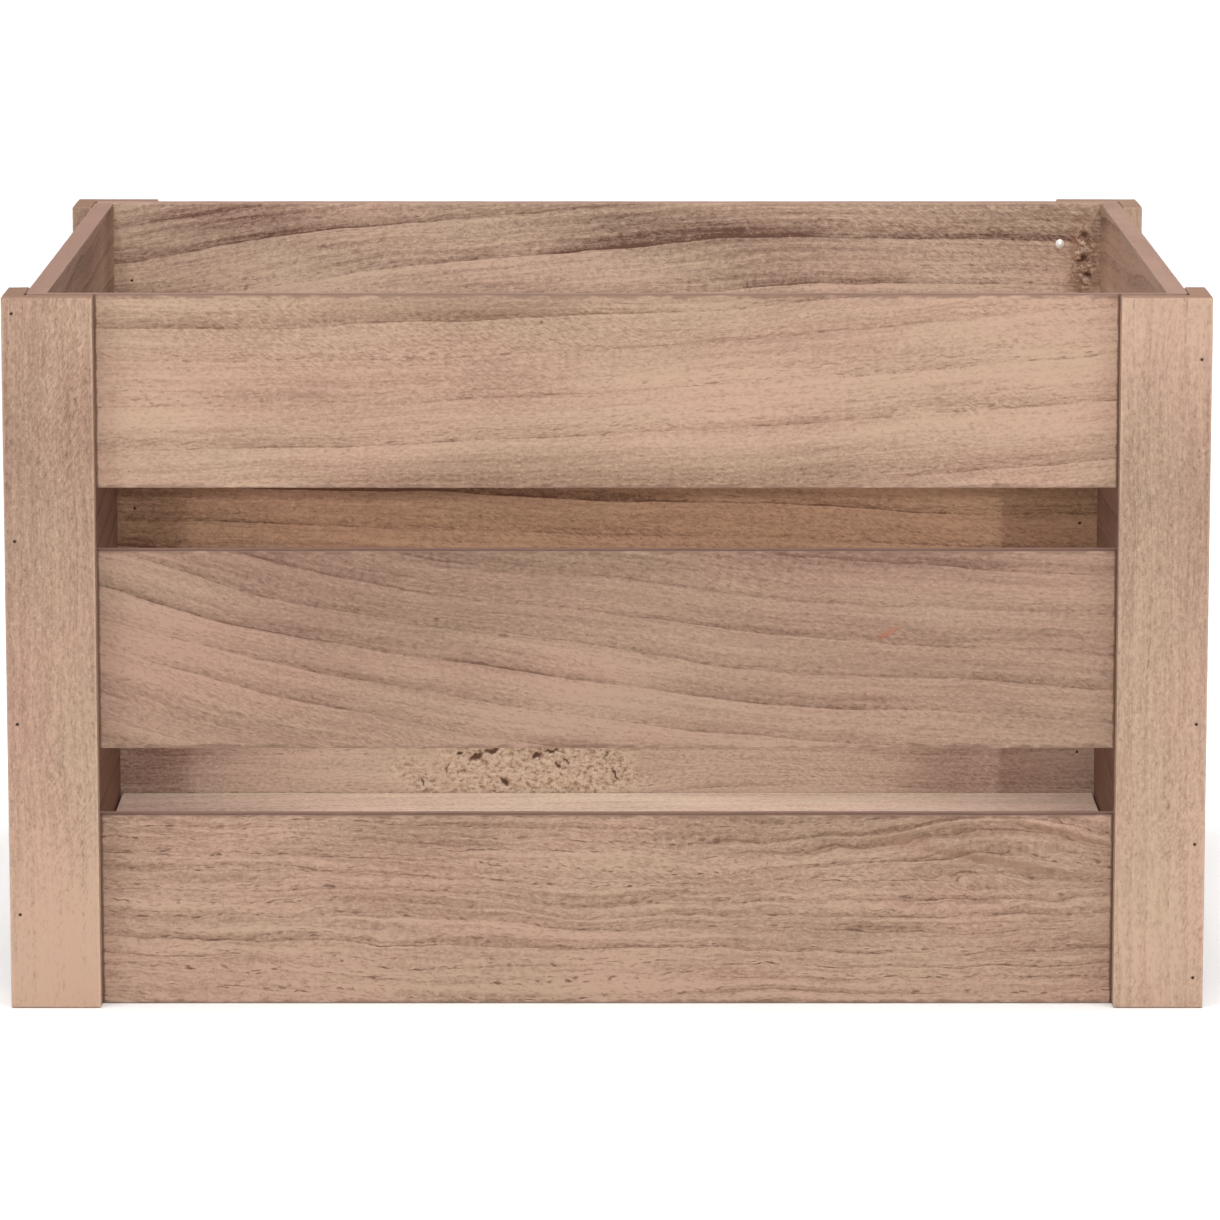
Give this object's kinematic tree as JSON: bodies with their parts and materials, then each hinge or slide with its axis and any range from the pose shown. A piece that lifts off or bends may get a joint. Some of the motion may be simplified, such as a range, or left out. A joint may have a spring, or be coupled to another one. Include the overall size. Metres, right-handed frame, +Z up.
{
  "type": "slatted wooden crate",
  "caption": "Open-topped wooden apple crate of slats nailed inside L-shaped corner boards, with finger gaps and a slatted floor.",
  "frame": {"origin": "on the ground, at the centre of the footprint", "axes": "+X to the right along the 0.5 m width seen from the front, +Y from the front wall to the back wall, +Z up"},
  "size_m": [0.5, 0.4, 0.3],
  "materials": {
    "corner_wood": "bare planed wood, fine straight vertical grain, eased edges",
    "slat_wood": "bare planed wood, broad wavy growth rings, short dark pores",
    "floor_wood": "bare planed wood, pale and plain",
    "brad_steel": "dark steel brads set just below the face",
    "domed_nail_metal": "bright plated dome"
  },
  "bodies": {
    "root": {"front_bottom_slat": "slat_wood", "front_bottom_left_slat_brad": "brad_steel", "front_bottom_right_slat_brad": "brad_steel", "front_middle_slat": "slat_wood", "front_middle_left_slat_brad": "brad_steel", "front_middle_right_slat_brad": "brad_steel", "front_top_slat": "slat_wood", "front_top_left_slat_brad": "brad_steel", "front_top_right_slat_brad": "brad_steel", "front_left_face_board": "corner_wood", "front_left_side_board": "corner_wood", "front_left_corner_brad_1": "brad_steel", "front_left_corner_brad_2": "brad_steel", "front_left_corner_brad_3": "brad_steel", "front_left_corner_brad_4": "brad_steel", "front_right_face_board": "corner_wood", "front_right_side_board": "corner_wood", "front_right_corner_brad_1": "brad_steel", "front_right_corner_brad_2": "brad_steel", "front_right_corner_brad_3": "brad_steel", "front_right_corner_brad_4": "brad_steel", "back_bottom_slat": "slat_wood", "back_bottom_left_slat_brad": "brad_steel", "back_bottom_right_slat_brad": "brad_steel", "back_middle_slat": "slat_wood", "back_middle_left_slat_brad": "brad_steel", "back_middle_right_slat_brad": "brad_steel", "back_top_slat": "slat_wood", "back_top_left_slat_brad": "brad_steel", "back_top_right_slat_brad": "brad_steel", "back_left_face_board": "corner_wood", "back_left_side_board": "corner_wood", "back_left_corner_brad_1": "brad_steel", "back_left_corner_brad_2": "brad_steel", "back_left_corner_brad_3": "brad_steel", "back_left_corner_brad_4": "brad_steel", "back_right_face_board": "corner_wood", "back_right_side_board": "corner_wood", "back_right_corner_brad_1": "brad_steel", "back_right_corner_brad_2": "brad_steel", "back_right_corner_brad_3": "brad_steel", "back_right_corner_brad_4": "brad_steel", "left_bottom_slat": "slat_wood", "left_middle_slat": "slat_wood", "left_top_slat": "slat_wood", "right_bottom_slat": "slat_wood", "right_middle_slat": "slat_wood", "right_top_slat": "slat_wood", "floor_board_1": "floor_wood", "floor_board_2": "floor_wood", "floor_board_3": "floor_wood", "floor_board_4": "floor_wood", "floor_cleat_1": "floor_wood", "floor_cleat_2": "floor_wood", "floor_cleat_3": "floor_wood", "domed_nail": "domed_nail_metal"}
  },
  "joints": []
}
